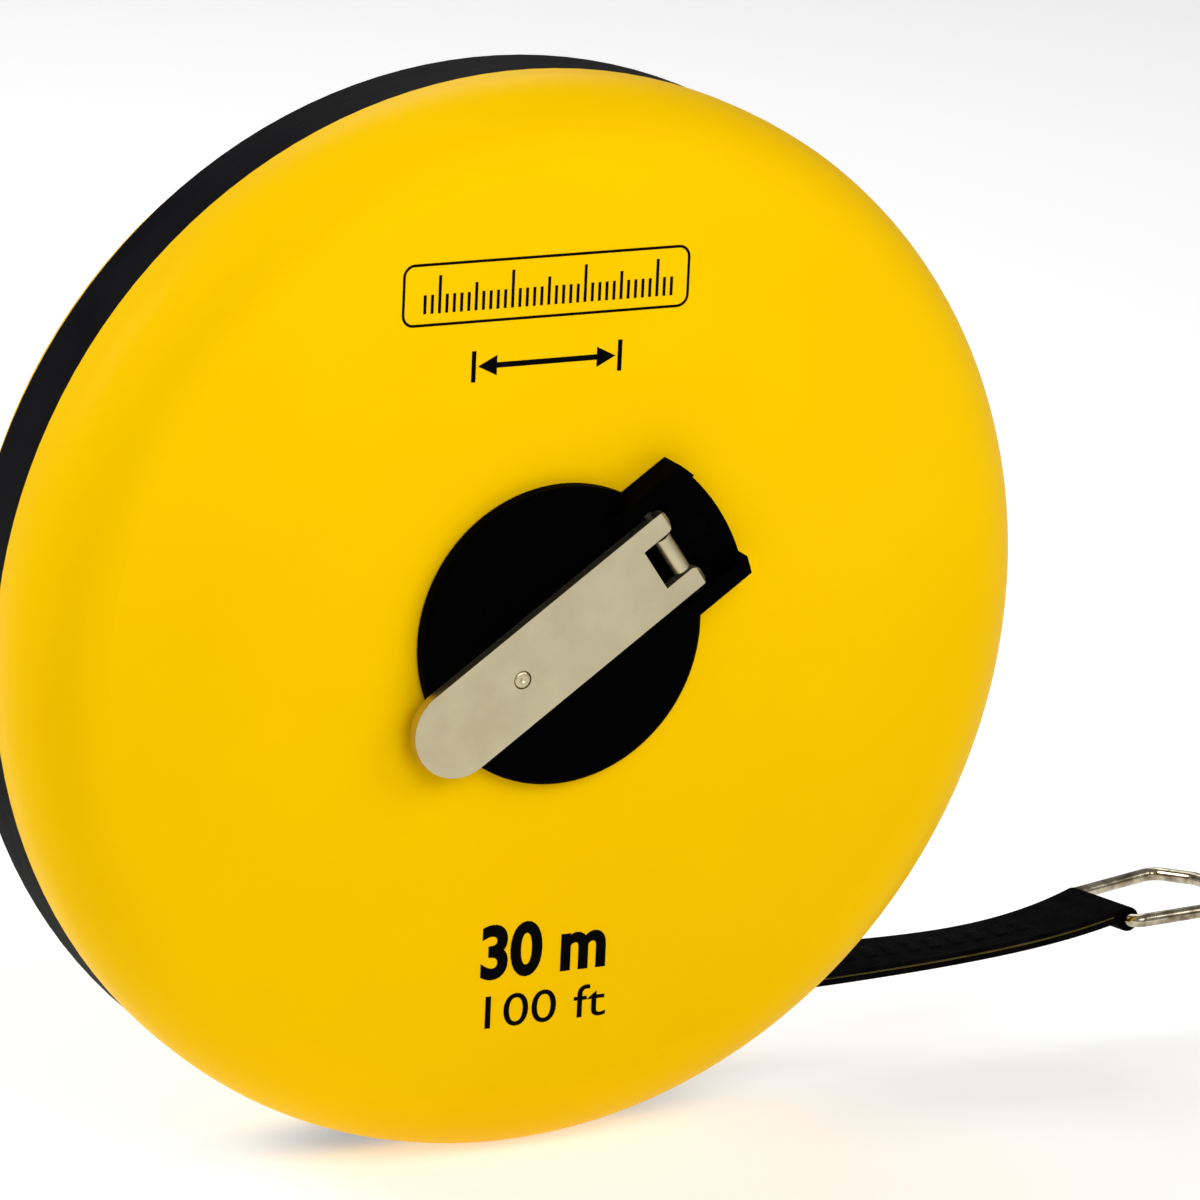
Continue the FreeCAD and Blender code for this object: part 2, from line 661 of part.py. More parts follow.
def tape_run():
    """Tape between the mouth and the strap; it grows as the tape is pulled out."""
    points = [(LEAD_END_X, MOUTH_Z), (STRAP_START_X, MOUTH_Z)]
    return flat_strip(points, TAPE_THICK, TAPE_WIDTH / 2)


def strap_pitch(t):
    """Upward slope of the strap in degrees, from t = 0 at its start to 1 at its end."""
    slope = STRAP_RISE_POWER * STRAP_RISE * t ** (STRAP_RISE_POWER - 1) / (STRAP_END_X - STRAP_START_X)
    return math.degrees(math.atan(slope))


def station_placement(t):
    """Frame of one strap station: X along the strap, Z out of its upper face."""
    roll = STRAP_ROLL_START + (STRAP_ROLL_END - STRAP_ROLL_START) * t
    roll += STRAP_ROLL_BULGE * math.sin(math.pi * t ** STRAP_BULGE_POWER)
    turn = FreeCAD.Rotation(Vec(0, 0, 1), STRAP_YAW_END * t ** STRAP_YAW_POWER)
    turn = turn.multiply(FreeCAD.Rotation(Vec(0, 1, 0), -strap_pitch(t)))
    turn = turn.multiply(FreeCAD.Rotation(Vec(1, 0, 0), -roll))
    x = STRAP_START_X + (STRAP_END_X - STRAP_START_X) * t
    return FreeCAD.Placement(Vec(x, 0, MOUTH_Z + STRAP_RISE * t ** STRAP_RISE_POWER), turn)


def strap_layer(low, high, half_width):
    """One layer of the strap, between two heights over its middle line."""
    sections = []
    for i in range(STRAP_STATION_COUNT):
        corners = [Vec(0, -half_width, low), Vec(0, half_width, low), Vec(0, half_width, high),
                   Vec(0, -half_width, high)]
        wire = Part.makePolygon(corners + corners[:1])
        wire.Placement = station_placement(i / (STRAP_STATION_COUNT - 1))
        sections.append(wire)
    return Part.makeLoft(sections, True, False)


def loop_placement():
    """Frame of the loop round the ring's bar, at the strap's far end."""
    end = station_placement(1.0)
    drop = LOOP_BORE_R - TAPE_THICK / 2 - LAYER_GAP
    return end.multiply(FreeCAD.Placement(Vec(0, 0, -drop), FreeCAD.Rotation()))


def placed(shape, placement):
    copy = shape.copy()
    copy.Placement = placement.multiply(copy.Placement)
    return copy


def tape_strap():
    """Black strap folded round the ring's bar, with the tape between its two layers."""
    half = STRAP_WIDTH / 2
    inner = TAPE_THICK / 2 + LAYER_GAP
    upper = strap_layer(inner, inner + STRAP_LAYER, half)
    lower = strap_layer(-inner - STRAP_LAYER, -inner, half)
    loop = placed(disc(LOOP_BORE_R + STRAP_LAYER, -half, half), loop_placement())
    bore = placed(disc(LOOP_BORE_R, -half - 1, half + 1), loop_placement())
    return upper.fuse([lower, loop]).cut(bore).removeSplitter()


def tape_tongue():
    """Last stretch of the tape, between the strap's layers."""
    tongue = strap_layer(-TAPE_THICK / 2, TAPE_THICK / 2, STRAP_WIDTH / 2)
    tongue = tongue.common(block(0, 200, -TAPE_WIDTH / 2, TAPE_WIDTH / 2, -100, 0))
    stop = placed(block(-LOOP_BORE_R - STRAP_LAYER, 5, -20, 20, -5, 5), loop_placement())
    return tongue.cut(stop)


def ring_placement():
    """Frame of the ring's wire; its plane slopes less than the strap's end does."""
    level = FreeCAD.Rotation(Vec(0, 1, 0), strap_pitch(1.0) - RING_PITCH)
    return loop_placement().multiply(FreeCAD.Placement(Vec(0, 0, 0), level))


def hook_ring():
    """Closed wire loop with rounded corners."""
    points = [Vec(x, y, 0) for x, y, _ in RING_CORNERS]
    count = len(points)
    arcs = []
    for i, (_, _, radius) in enumerate(RING_CORNERS):
        back = (points[i - 1] - points[i]).normalize()
        ahead = (points[(i + 1) % count] - points[i]).normalize()
        half_angle = back.getAngle(ahead) / 2
        reach = radius / math.tan(half_angle)
        bisector = (back + ahead).normalize()
        centre = points[i] + bisector * (radius / math.sin(half_angle))
        arcs.append((points[i] + back * reach, centre, points[i] + ahead * reach))
    pieces = []
    for i, (start, centre, end) in enumerate(arcs):
        pieces.append(wire_bend(start, centre, end))
        onward = arcs[(i + 1) % count][0] - end
        pieces.append(Part.makeCylinder(RING_WIRE_R, onward.Length, end, onward))
    ring = pieces[0].fuse(pieces[1:])
    return placed(ring, ring_placement())


def wire_bend(start, centre, end):
    """Bent stretch of round wire from start to end about centre, in the XY plane."""
    arm = start - centre
    angle = math.degrees(arm.getAngle(end - centre))
    turn = 1 if arm.cross(end - centre).z > 0 else -1
    along = Vec(0, 0, turn).cross(arm)
    section = Part.Face(Part.Wire(Part.makeCircle(RING_WIRE_R, start, along)))
    return section.revolve(centre, Vec(0, 0, turn), angle)


NODES = {
    "front_shell": front_shell,
    "rear_shell": rear_shell,
    "rim_band": rim_band,
    "mouth_guide": mouth_guide,
    "guide_pins": guide_pins,
    "case_screws": case_screws,
    "rear_bush": rear_bush,
    "rear_cap": rear_cap,
    "drum_core": drum_core,
    "drum_flange_front": drum_flange_front,
    "drum_flange_rear": drum_flange_rear,
    "tape_coil": tape_coil,
    "tape_anchor": tape_anchor,
    "tape_lead": tape_lead,
    "hub_screws": hub_screws,
    "axle_washer": axle_washer,
    "axle_screw": axle_screw,
    "crank_hub": crank_hub,
    "hinge_leaf": hinge_leaf,
    "leaf_rivet": leaf_rivet,
    "hinge_pin": hinge_pin,
    "crank_arm": crank_arm,
    "knob_axle": knob_axle,
    "knob_washer": knob_washer,
    "knob": knob,
    "tape_run": tape_run,
    "tape_tongue": tape_tongue,
    "tape_strap": tape_strap,
    "hook_ring": hook_ring,
}

os.makedirs("parts", exist_ok=True)
for name, make in NODES.items():
    shape = make()
    solids = shape.Solids
    print("%-18s solids %d volume %10.1f valid %s" % (name, len(solids), shape.Volume, shape.isValid()))
    shape.exportStep(os.path.join("parts", name + ".step"))
pivot = loop_placement()
print("ring hinge at", pivot.Base, "axis", pivot.Rotation.multVec(Vec(0, 1, 0)))
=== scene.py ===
import json
import math

import bmesh
import bpy
from mathutils import Matrix, Vector
from mathutils.bvhtree import BVHTree


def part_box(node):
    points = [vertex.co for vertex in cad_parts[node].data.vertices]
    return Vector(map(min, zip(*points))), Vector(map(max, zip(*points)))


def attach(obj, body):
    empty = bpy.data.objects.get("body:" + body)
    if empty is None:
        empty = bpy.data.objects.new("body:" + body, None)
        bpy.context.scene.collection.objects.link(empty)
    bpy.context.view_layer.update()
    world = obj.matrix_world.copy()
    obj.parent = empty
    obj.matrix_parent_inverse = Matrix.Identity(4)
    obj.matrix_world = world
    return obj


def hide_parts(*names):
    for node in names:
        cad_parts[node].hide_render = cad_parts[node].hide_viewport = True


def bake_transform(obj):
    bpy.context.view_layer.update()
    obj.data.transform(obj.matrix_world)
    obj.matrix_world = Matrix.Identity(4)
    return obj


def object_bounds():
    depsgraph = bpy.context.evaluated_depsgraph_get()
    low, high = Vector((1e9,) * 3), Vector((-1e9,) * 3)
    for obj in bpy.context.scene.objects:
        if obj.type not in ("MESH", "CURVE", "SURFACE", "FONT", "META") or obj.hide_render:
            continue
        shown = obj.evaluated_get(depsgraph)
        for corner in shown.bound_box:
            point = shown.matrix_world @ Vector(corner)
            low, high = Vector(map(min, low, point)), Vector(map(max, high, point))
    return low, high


# The reel stands upright in the part's own frame: the crank side faces -Y and +Z is up.
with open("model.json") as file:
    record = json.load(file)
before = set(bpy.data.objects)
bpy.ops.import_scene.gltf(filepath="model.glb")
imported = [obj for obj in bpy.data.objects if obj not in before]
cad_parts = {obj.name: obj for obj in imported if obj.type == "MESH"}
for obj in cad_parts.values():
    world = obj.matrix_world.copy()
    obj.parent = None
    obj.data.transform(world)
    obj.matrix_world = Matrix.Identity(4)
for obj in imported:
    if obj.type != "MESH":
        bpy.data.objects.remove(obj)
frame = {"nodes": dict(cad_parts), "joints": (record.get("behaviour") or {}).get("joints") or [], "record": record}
cad_low, cad_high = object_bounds()
nodes = frame["nodes"]
joints = {joint["name"]: joint for joint in frame["joints"]}

MM = 0.001


# Camera, light and floor.

def direction(azimuth, elevation):
    """Unit vector towards a place seen at that azimuth and elevation, in degrees; azimuth 0 is -Y."""
    a = math.radians(azimuth)
    e = math.radians(elevation)
    return Vector((math.sin(a) * math.cos(e), -math.cos(a) * math.cos(e), math.sin(e)))


def add_camera(target, azimuth, elevation, roll, distance, lens, pan, tilt):
    data = bpy.data.cameras.new("camera")
    data.lens = lens
    data.sensor_width = 36.0
    data.clip_start = 0.05
    data.clip_end = 20.0
    camera = bpy.data.objects.new("camera", data)
    bpy.context.scene.collection.objects.link(camera)
    back = direction(azimuth, elevation)
    turn = (-back).to_track_quat("-Z", "Y").to_matrix()
    turn = turn @ Matrix.Rotation(math.radians(roll), 3, "Z")
    turn = turn @ Matrix.Rotation(math.radians(pan), 3, "Y")
    turn = turn @ Matrix.Rotation(math.radians(tilt), 3, "X")
    camera.matrix_world = Matrix.Translation(target + back * distance) @ turn.to_4x4()
    bpy.context.scene.camera = camera


def add_area_light(name, place, target, size, power, spread_degrees=180.0):
    data = bpy.data.lights.new(name, "AREA")
    data.shape = "DISK"
    data.size = size
    data.energy = power
    data.spread = math.radians(spread_degrees)
    light = bpy.data.objects.new(name, data)
    bpy.context.scene.collection.objects.link(light)
    light.location = place
    light.rotation_mode = "QUATERNION"
    light.rotation_quaternion = (Vector(target) - Vector(place)).to_track_quat("-Z", "Y")
    light.visible_camera = False


def add_world(strength):
    world = bpy.data.worlds.new("world")
    bpy.context.scene.world = world
    world.use_nodes = True
    background = world.node_tree.nodes["Background"]
    background.inputs["Color"].default_value = (1.0, 1.0, 1.0, 1.0)
    background.inputs["Strength"].default_value = strength


def add_floor(z):
    """Pale floor that glows a little, so that it stays near white, with a soft shadow under the reel."""
    half = 3.0
    mesh = bpy.data.meshes.new("floor")
    corners = [(-half, -half, z), (half, -half, z), (half, half, z), (-half, half, z)]
    mesh.from_pydata(corners, [], [(0, 1, 2, 3)])
    floor = bpy.data.objects.new("floor", mesh)
    bpy.context.scene.collection.objects.link(floor)
    mat = bpy.data.materials.new("floor_pale")
    mat.use_nodes = True
    shader = mat.node_tree.nodes["Principled BSDF"]
    shader.inputs["Base Color"].default_value = (0.85, 0.85, 0.85, 1.0)
    shader.inputs["Roughness"].default_value = 0.9
    shader.inputs["Specular IOR Level"].default_value = 0.1
    shader.inputs["Emission Color"].default_value = (1.0, 1.0, 1.0, 1.0)
    shader.inputs["Emission Strength"].default_value = 0.42
    mesh.materials.append(mat)


add_camera(Vector((0.0, -0.0053, 0.0)), azimuth=-26.51, elevation=16.09, roll=2.35, distance=0.982,
           lens=232.14, pan=-0.694, tilt=0.068)
add_world(0.26)
add_floor(cad_low.z - 0.2 * MM)
add_area_light("key", (-0.03, -0.26, 0.17), (0.0, 0.0, 0.05), 0.22, 0.09, 70.0)
add_area_light("edge", (-0.5, 0.24, 0.38), (0.0, 0.0, 0.0), 0.3, 2.4)
add_area_light("fill", (0.5, -0.5, 0.5), (0.0, 0.0, 0.0), 0.5, 1.8)
add_area_light("rear", (0.2, 0.6, 0.5), (0.0, 0.0, 0.0), 0.5, 1.2)
bpy.context.scene.view_settings.view_transform = "Standard"


# Materials: each has slow colour variation, uneven gloss and a fine grain, in the part's own frame.

def add_node(mat, kind, **values):
    node = mat.node_tree.nodes.new(kind)
    for key, value in values.items():
        node.inputs[key.replace("_", " ")].default_value = value
    return node


def link(mat, output, socket):
    mat.node_tree.links.new(output, socket)


def stretched_place(mat, stretch):
    """Place in the part's frame, scaled by stretch on each axis."""
    where = add_node(mat, "ShaderNodeTexCoord")
    mapping = add_node(mat, "ShaderNodeMapping", Scale=stretch)
    link(mat, where.outputs["Object"], mapping.inputs["Vector"])
    return mapping.outputs["Vector"]


def noise(mat, size, stretch=(1.0, 1.0, 1.0), detail=3.0):
    """Noise from 0 to 1 whose patches are about size metres wide."""
    node = add_node(mat, "ShaderNodeTexNoise", Scale=1.0 / size, Detail=detail)
    link(mat, stretched_place(mat, stretch), node.inputs["Vector"])
    return node.outputs["Fac"]


def spread(mat, factor, low, high, start=0.3, end=0.7):
    """Number that runs from low to high as factor runs from start to end."""
    node = mat.node_tree.nodes.new("ShaderNodeMapRange")
    for key, value in (("From Min", start), ("From Max", end), ("To Min", low), ("To Max", high)):
        node.inputs[key].default_value = value
    link(mat, factor, node.inputs["Value"])
    return node.outputs["Result"]


def blended_colours(mat, factor, first, second):
    """Colour between first and second; each is a colour or another node's output."""
    node = mat.node_tree.nodes.new("ShaderNodeMix")
    node.data_type = "RGBA"
    link(mat, factor, node.inputs["Factor"])
    for socket, colour in ((node.inputs["A"], first), (node.inputs["B"], second)):
        rgba = [s for s in node.inputs if s.name == socket.name and s.type == "RGBA"][0]
        if isinstance(colour, tuple):
            rgba.default_value = (*colour, 1.0)
        else:
            link(mat, colour, rgba)
    return [s for s in node.outputs if s.type == "RGBA"][0]


def math_node(mat, operation, first, second=0.0):
    node = mat.node_tree.nodes.new("ShaderNodeMath")
    node.operation = operation
    for socket, value in zip(node.inputs, (first, second)):
        if isinstance(value, float):
            socket.default_value = value
        else:
            link(mat, value, socket)
    return node.outputs["Value"]


def finish(name, dark, light, rough, metallic=0.0, specular=0.5, tint=(1.0, 1.0, 1.0), patch=12 * MM,
           grain=0.5 * MM, stretch=(1.0, 1.0, 1.0), depth=0.02 * MM, strength=0.5):
    """Material between two colours, with roughness from rough[0] to rough[1] and a fine bump."""
    mat = bpy.data.materials.new(name)
    mat.use_nodes = True
    shader = mat.node_tree.nodes["Principled BSDF"]
    shader.inputs["Metallic"].default_value = metallic
    shader.inputs["Specular IOR Level"].default_value = specular
    shader.inputs["Specular Tint"].default_value = (*tint, 1.0)
    slow = spread(mat, noise(mat, patch), 0.0, 1.0)
    link(mat, blended_colours(mat, slow, dark, light), shader.inputs["Base Color"])
    fine = noise(mat, grain, stretch)
    link(mat, spread(mat, fine, rough[0], rough[1]), shader.inputs["Roughness"])
    bump = add_node(mat, "ShaderNodeBump", Strength=strength, Distance=depth)
    link(mat, fine, bump.inputs["Height"])
    link(mat, bump.outputs["Normal"], shader.inputs["Normal"])
    return mat


def recolour(mat, change):
    """Put change(colour) between a material's colour and its shader."""
    socket = mat.node_tree.nodes["Principled BSDF"].inputs["Base Color"]
    before = socket.links[0].from_socket
    link(mat, change(before), socket)


def graduated(mat):
    """Millimetre and centimetre marks across the printed tape, from its edges inwards."""
    where = add_node(mat, "ShaderNodeTexCoord")
    split = add_node(mat, "ShaderNodeSeparateXYZ")
    link(mat, where.outputs["Object"], split.inputs["Vector"])
    across = math_node(mat, "ABSOLUTE", split.outputs["Y"])
    marks = None
    for pitch, width, reach in ((2 * MM, 0.3 * MM, 4.6 * MM), (10 * MM, 0.5 * MM, 1.5 * MM)):
        shifted = math_node(mat, "ADD", split.outputs["X"], 1.0)
        along = math_node(mat, "MODULO", shifted, pitch)
        line = math_node(mat, "LESS_THAN", along, width)
        mark = math_node(mat, "MULTIPLY", line, math_node(mat, "GREATER_THAN", across, reach))
        marks = mark if marks is None else math_node(mat, "MAXIMUM", marks, mark)
    recolour(mat, lambda before: blended_colours(mat, marks, before, (0.01, 0.01, 0.01)))


def wound(mat):
    """Thin dark lines between the turns of tape, seen from the coil's side: painted shade for the gaps between
    turns.
    """
    where = add_node(mat, "ShaderNodeTexCoord")
    split = add_node(mat, "ShaderNodeSeparateXYZ")
    link(mat, where.outputs["Object"], split.inputs["Vector"])
    squares = [math_node(mat, "MULTIPLY", split.outputs[k], split.outputs[k]) for k in ("X", "Z")]
    radius = math_node(mat, "SQRT", math_node(mat, "ADD", squares[0], squares[1]))
    layer = math_node(mat, "MODULO", radius, 0.37 * MM)
    # Painted shade: a thin dark ring at each turn, where the gap between turns would be in shade.
    dark = math_node(mat, "LESS_THAN", layer, 0.06 * MM)
    recolour(mat, lambda before: blended_colours(mat, dark, before, (0.25, 0.17, 0.03)))


def make_materials():
    made = {
        "shell_yellow": finish("shell_yellow", (0.875, 0.515, 0.0), (0.905, 0.545, 0.0), (0.40, 0.46),
                               specular=0.04, tint=(1.0, 0.8, 0.02), patch=35 * MM, grain=0.9 * MM,
                               depth=0.01 * MM, strength=0.3),
        "band_black": finish("band_black", (0.004, 0.004, 0.005), (0.007, 0.007, 0.008), (0.48, 0.6),
                             specular=0.01, grain=0.8 * MM, stretch=(0.12, 4.0, 0.12), depth=0.05 * MM),
        "hub_black": finish("hub_black", (0.0003, 0.0003, 0.0003), (0.0006, 0.0006, 0.0006), (0.45, 0.6),
                            specular=0.005, grain=0.35 * MM, depth=0.03 * MM),
        "guide_black": finish("guide_black", (0.006, 0.006, 0.006), (0.010, 0.010, 0.010), (0.4, 0.55),
                              specular=0.3),
        "bush_white": finish("bush_white", (0.72, 0.72, 0.68), (0.82, 0.82, 0.79), (0.3, 0.42),
                             stretch=(1.0, 6.0, 1.0)),
        "drum_grey": finish("drum_grey", (0.19, 0.20, 0.21), (0.24, 0.25, 0.26), (0.42, 0.55), depth=0.04 * MM),
        "tape_yellow": finish("tape_yellow", (0.70, 0.50, 0.05), (0.80, 0.60, 0.08), (0.4, 0.5),
                              grain=0.3 * MM, stretch=(0.2, 2.0, 1.0)),
        "steel_nickel": finish("steel_nickel", (0.52, 0.455, 0.295), (0.58, 0.52, 0.34), (0.34, 0.44),
                               metallic=1.0, patch=4.0 * MM, grain=0.25 * MM, depth=0.01 * MM),
        "screw_zinc": finish("screw_zinc", (0.50, 0.51, 0.53), (0.66, 0.67, 0.69), (0.25, 0.4),
                             metallic=1.0, patch=1.0 * MM, grain=0.2 * MM),
        "rivet_black": finish("rivet_black", (0.0006, 0.0006, 0.0006), (0.0012, 0.0012, 0.0012), (0.5, 0.65),
                              specular=0.005, patch=1.0 * MM, grain=0.2 * MM),
        "knob_black": finish("knob_black", (0.004, 0.004, 0.005), (0.007, 0.007, 0.008), (0.22, 0.32),
                             specular=0.4),
        "strap_black": finish("strap_black", (0.001, 0.001, 0.0012), (0.004, 0.004, 0.0045), (0.5, 0.7),
                              specular=0.005, patch=2.5 * MM, grain=0.35 * MM, depth=0.05 * MM),
        # Painted reflection: the dark brown streaks along the wire in this colour stand in for dark reflections,
        # over the wire's own uneven cream tone.
        "ring_chrome": finish("ring_chrome", (0.20, 0.16, 0.10), (0.62, 0.56, 0.42), (0.10, 0.2),
                              metallic=1.0, patch=1.6 * MM, grain=0.4 * MM, stretch=(0.2, 1.0, 1.0),
                              depth=0.004 * MM),
        # Painted shade: a dull yellow-brown, darker than the tape's own yellow, for how dim the tongue looks
        # tucked between the strap's layers.
        "tape_painted_shade": finish("tape_painted_shade", (0.10, 0.075, 0.015), (0.26, 0.20, 0.05), (0.45, 0.6),
                            specular=0.1, patch=4 * MM, grain=0.3 * MM, stretch=(0.2, 2.0, 1.0)),
        "pin_dark": finish("pin_dark", (0.03, 0.028, 0.025), (0.06, 0.055, 0.05), (0.4, 0.55),
                           metallic=1.0, patch=1.0 * MM, grain=0.2 * MM),
        "print_black": finish("print_black", (0.001, 0.001, 0.001), (0.002, 0.002, 0.002), (0.5, 0.65),
                              specular=0.01, patch=2 * MM, grain=0.2 * MM, depth=0.005 * MM),
    }
    graduated(made["tape_yellow"])
    made["tape_wound"] = finish("tape_wound", (0.70, 0.50, 0.05), (0.80, 0.60, 0.08), (0.4, 0.5))
    wound(made["tape_wound"])
    return made


materials = make_materials()
slot_of = {part["node"]: part["material_slot"] for part in frame["record"]["subparts"]}


def paint_cad_nodes():
    for node, slot in slot_of.items():
        mesh = nodes[node].data
        mesh.materials.clear()
        mesh.materials.append(materials[slot])
    nodes["tape_coil"].data.materials[0] = materials["tape_wound"]
    # The tongue is drawn in painted shade, darker than the tape's yellow.
    nodes["tape_tongue"].data.materials[0] = materials["tape_painted_shade"]
    nodes["hinge_pin"].data.materials[0] = materials["pin_dark"]


paint_cad_nodes()


# Pieces.

def add_piece(name, mesh, body, slot, replaced=(), material=None):
    """Link a mesh as a piece that rides on a body and stands for the replaced nodes."""
    mesh.materials.append(materials[material or slot])
    piece = bpy.data.objects.new(name, mesh)
    bpy.context.scene.collection.objects.link(piece)
    if body:
        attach(piece, body)
    if replaced:
        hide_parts(*replaced)
    return piece


def mesh_from(work, name, sharp=35.0):
    """Smooth-shaded mesh from a bmesh, with edges over that angle kept sharp."""
    mesh = bpy.data.meshes.new(name)
    bmesh.ops.recalc_face_normals(work, faces=work.faces)
    work.verts.index_update()
    points = [tuple(v.co) for v in work.verts]
    faces = [[v.index for v in f.verts] for f in work.faces]
    work.free()
    mesh.from_pydata(points, [], faces)
    mesh.shade_smooth()
    mesh.set_sharp_from_angle(angle=math.radians(sharp))
    return mesh


def soften(node, body, width, name, least=30.0):
    """Stand-in for a CAD node whose sharp edges are rounded to that width."""
    work = bmesh.new()
    work.from_mesh(nodes[node].data)
    bmesh.ops.remove_doubles(work, verts=work.verts, dist=0.001 * MM)
    bmesh.ops.dissolve_limit(work, angle_limit=math.radians(0.3), verts=work.verts, edges=work.edges)
    limit = math.radians(least)
    sharp = [e for e in work.edges if len(e.link_faces) == 2 and e.calc_face_angle() > limit]
    bmesh.ops.bevel(work, geom=sharp, offset=width, offset_type="OFFSET", segments=2, profile=0.5,
                    affect="EDGES", clamp_overlap=True, harden_normals=False)
    bmesh.ops.triangulate(work, faces=[f for f in work.faces if len(f.verts) > 4])
    piece = add_piece(name, mesh_from(work, name), body, slot_of[node], (node,))
    flat = piece.modifiers.new("flat_faces", "WEIGHTED_NORMAL")
    flat.keep_sharp = True
    flat.weight = 100
    return piece


def add_softened_pieces():
    soften("crank_hub", "drum", 0.15 * MM, "crank_hub_moulded")
    soften("crank_arm", "crank", 0.14 * MM, "crank_arm_plate")
    soften("hinge_leaf", "drum", 0.06 * MM, "hinge_leaf_rolled")
    soften("rear_cap", "case", 0.15 * MM, "rear_cap_moulded")
    soften("mouth_guide", "case", 0.12 * MM, "mouth_guide_moulded")


def turned(outline, centre, steps=72):
    """Surface turned about the line along Y through centre; outline is (radius, y) points."""
    work = bmesh.new()
    rings = []
    for radius, y in outline:
        if radius == 0.0:
            rings.append([work.verts.new((centre[0], y, centre[1]))] * steps)
            continue
        angles = [2 * math.pi * i / steps for i in range(steps)]
        rings.append([work.verts.new((centre[0] + radius * math.cos(a), y, centre[1] + radius * math.sin(a)))
                      for a in angles])
    for low, high in zip(rings, rings[1:]):
        for i in range(steps):
            j = (i + 1) % steps
            corners = []
            for vert in (low[i], low[j], high[j], high[i]):
                if vert not in corners:
                    corners.append(vert)
            work.faces.new(corners)
    return work


def add_axle_rivet():
    """Peened end of the knob's axle, flush in the arm, with a dimple in its middle."""
    low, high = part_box("knob_axle")
    centre = ((low.x + high.x) / 2, (low.z + high.z) / 2)
    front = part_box("crank_arm")[0].y
    tail = high.y
    outline = [(0.0, front + 0.12 * MM), (0.22 * MM, front + 0.08 * MM), (0.3 * MM, front - 0.02 * MM),
               (0.6 * MM, front - 0.08 * MM), (0.95 * MM, front - 0.04 * MM), (1.06 * MM, front + 0.12 * MM),
               (1.15 * MM, front + 0.3 * MM), (1.15 * MM, tail - 0.6 * MM), (1.7 * MM, tail - 0.6 * MM),
               (1.9 * MM, tail - 0.45 * MM), (1.9 * MM, tail - 0.15 * MM), (1.7 * MM, tail), (0.0, tail)]
    mesh = mesh_from(turned(outline, centre), "knob_axle_rivet", sharp=50.0)
    add_piece("knob_axle_rivet", mesh, "crank", "steel_nickel", ("knob_axle",))


def ring_frame():
    """Middle of the ring's bar, direction out to its far side, and direction along the bar."""
    hinge = joints["ring_swivel"]
    bar = Vector(hinge["axis"]).normalized()
    low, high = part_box("hook_ring")
    start = Vector(hinge["pos_m"])
    reach = (low + high) / 2 - start
    out = (reach - bar * reach.dot(bar)).normalized()
    return start, out, bar


def rounded_route(corners, arc_steps=14):
    """Points along straight runs joined by arcs; corners are (x, y, radius)."""
    points = [Vector((x, y, 0.0)) for x, y, _ in corners]
    count = len(points)
    route = []
    for i, (_, _, radius) in enumerate(corners):
        back = (points[i - 1] - points[i]).normalized()
        ahead = (points[(i + 1) % count] - points[i]).normalized()
        half = back.angle(ahead) / 2
        centre = points[i] + (back + ahead).normalized() * (radius / math.sin(half))
        start = points[i] + back * (radius / math.tan(half)) - centre
        end = points[i] + ahead * (radius / math.tan(half)) - centre
        sweep = start.angle(end)
        for k in range(arc_steps + 1):
            t = k / arc_steps
            ratio = math.sin(sweep)
            arm = (start * math.sin((1 - t) * sweep) + end * math.sin(t * sweep)) / ratio
            route.append(centre + arm)
    return route


# Hook ring's wire: corners of its centre line from the bar outwards, as (out, along the bar, radius).
RING_WIRE_R = 0.9 * MM
RING_HALF = ((0.0, 8.8 * MM, 1.7 * MM), (15.8 * MM, 11.3 * MM, 2.2 * MM), (18.4 * MM, 4.6 * MM, 4.0 * MM))


def add_hook_ring():
    start, out, bar = ring_frame()
    corners = [(x, -y, r) for x, y, r in RING_HALF] + [(x, y, r) for x, y, r in reversed(RING_HALF)]
    route = rounded_route(corners)
    normal = out.cross(bar)
    sides = 20
    work = bmesh.new()
    rings = []
    for i, point in enumerate(route):
        ahead = route[(i + 1) % len(route)] - route[i - 1]
        side = Vector((-ahead.y, ahead.x, 0.0)).normalized()
        ring = []
        for k in range(sides):
            angle = 2 * math.pi * k / sides
            flat = point + side * (RING_WIRE_R * math.cos(angle))
            place = start + out * flat.x + bar * flat.y + normal * (RING_WIRE_R * math.sin(angle))
            ring.append(work.verts.new(place))
        rings.append(ring)
    for ring, following in zip(rings, rings[1:] + rings[:1]):
        for k in range(sides):
            j = (k + 1) % sides
            work.faces.new((ring[k], ring[j], following[j], following[k]))
    mesh = mesh_from(work, "hook_ring_wire", sharp=80.0)
    add_piece("hook_ring_wire", mesh, "ring", "ring_chrome", ("hook_ring",))


def surface_finder(node):
    """Function that gives the place and normal of a node's upper face over (x, y)."""
    mesh = nodes[node].data
    tree = BVHTree.FromPolygons([v.co for v in mesh.vertices], [tuple(p.vertices) for p in mesh.polygons])

    def find(x, y):
        place, normal, _, _ = tree.ray_cast(Vector((x, y, 0.0)), Vector((0.0, 0.0, -1.0)))
        return place, normal
    return find


# Raised grip ribs along the middle of the strap's upper face.
RIB_PITCH = 3.3 * MM
RIB_LENGTH = 1.9 * MM
RIB_HALF_ACROSS = 2.7 * MM
RIB_HEIGHT = 0.16 * MM
RIB_SLANT = 0.25
RIB_STEPS = 6


